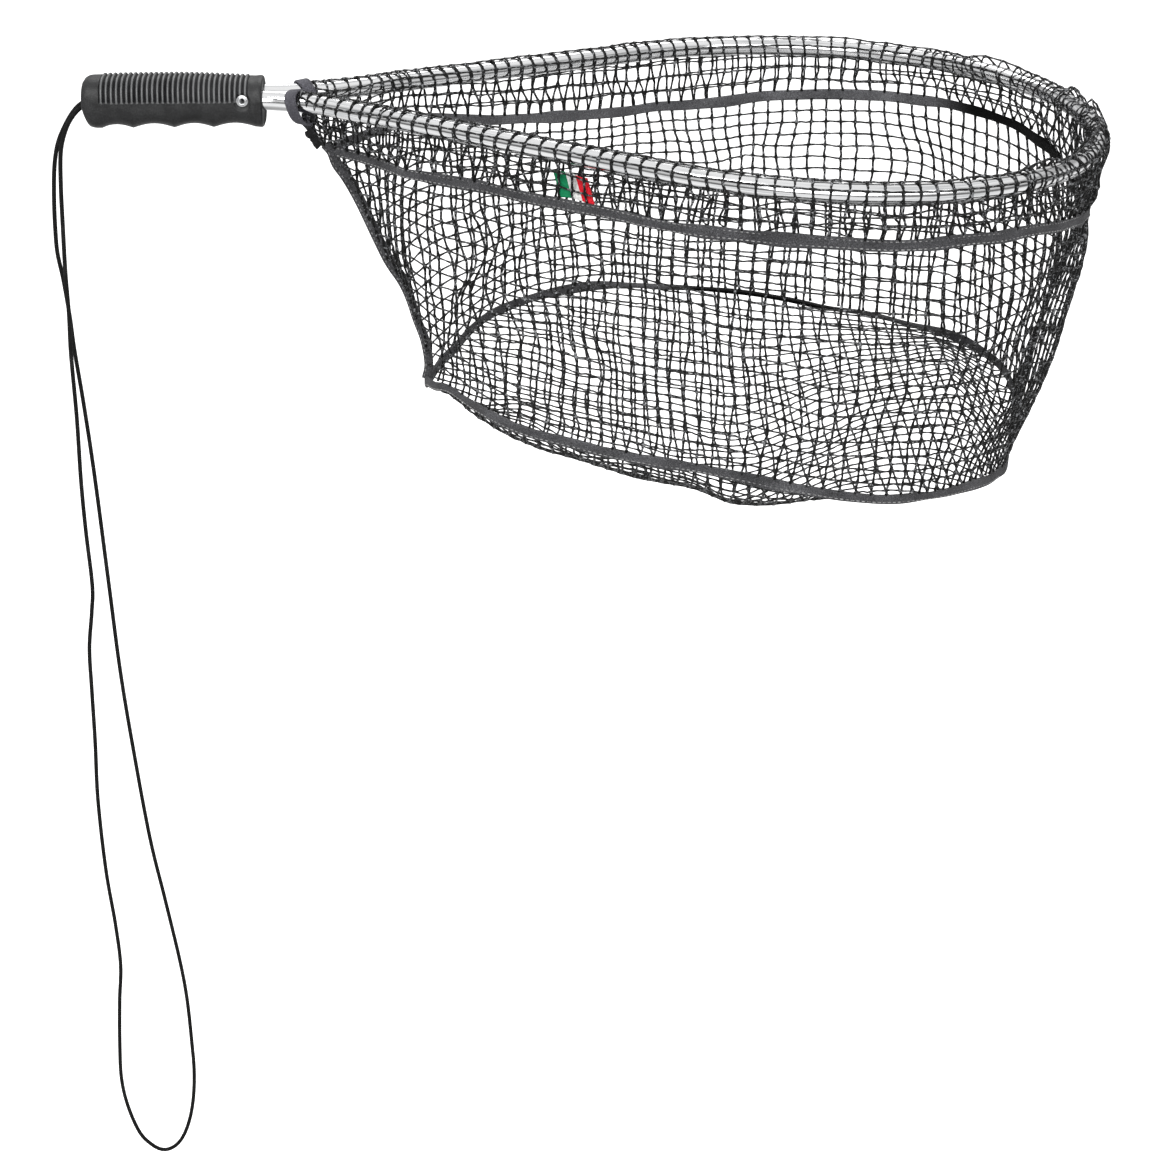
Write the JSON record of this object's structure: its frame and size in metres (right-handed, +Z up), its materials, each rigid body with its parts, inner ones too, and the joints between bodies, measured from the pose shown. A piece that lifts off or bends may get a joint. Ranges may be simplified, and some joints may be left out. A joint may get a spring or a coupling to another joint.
{
  "type": "landing net",
  "caption": "Hand-held trout landing net: teardrop aluminium hoop in a ribbed rubber grip, square-mesh netting bag with taped seams and an elastic lanyard loop.",
  "frame": {"origin": "inside the grip, on the line between the two tube ends, 56 mm ahead of the grip's rear end", "axes": "+X from the grip's rear end towards the hoop's toe, +Y across the hoop, +Z up out of the bag's mouth"},
  "size_m": [0.6706, 0.388, 0.8157],
  "materials": {
    "rubber_grip": "semi-matt moulded rubber with half-round ribs",
    "polished_tube": "bright drawn and polished tube",
    "rivet_metal": "satin turned rivet and washer",
    "elastic_cord": "black woven cover over elastic",
    "netting": "dark knotless twine",
    "binding_tape": "dark grey woven binding tape",
    "collar_tape": "grey-purple woven binding",
    "black_tape": "folded black tape",
    "woven_tab": "woven green, white and red stripes"
  },
  "bodies": {
    "root": {"grip": "rubber_grip", "hoop_tube": "polished_tube", "rivet": "rivet_metal", "rivet_washers": "rivet_metal", "lanyard_cord": "elastic_cord", "sleeve_front": "netting", "sleeve_back": "netting", "seam_tape": "binding_tape", "heel_tape": "binding_tape", "floor_tape": "binding_tape", "toe_seam": "netting", "wall_front": "netting", "wall_back": "netting", "floor_net": "netting", "collar_front": "collar_tape", "collar_back": "collar_tape", "tape_tail": "black_tape", "flag_tab": "woven_tab"}
  },
  "joints": []
}
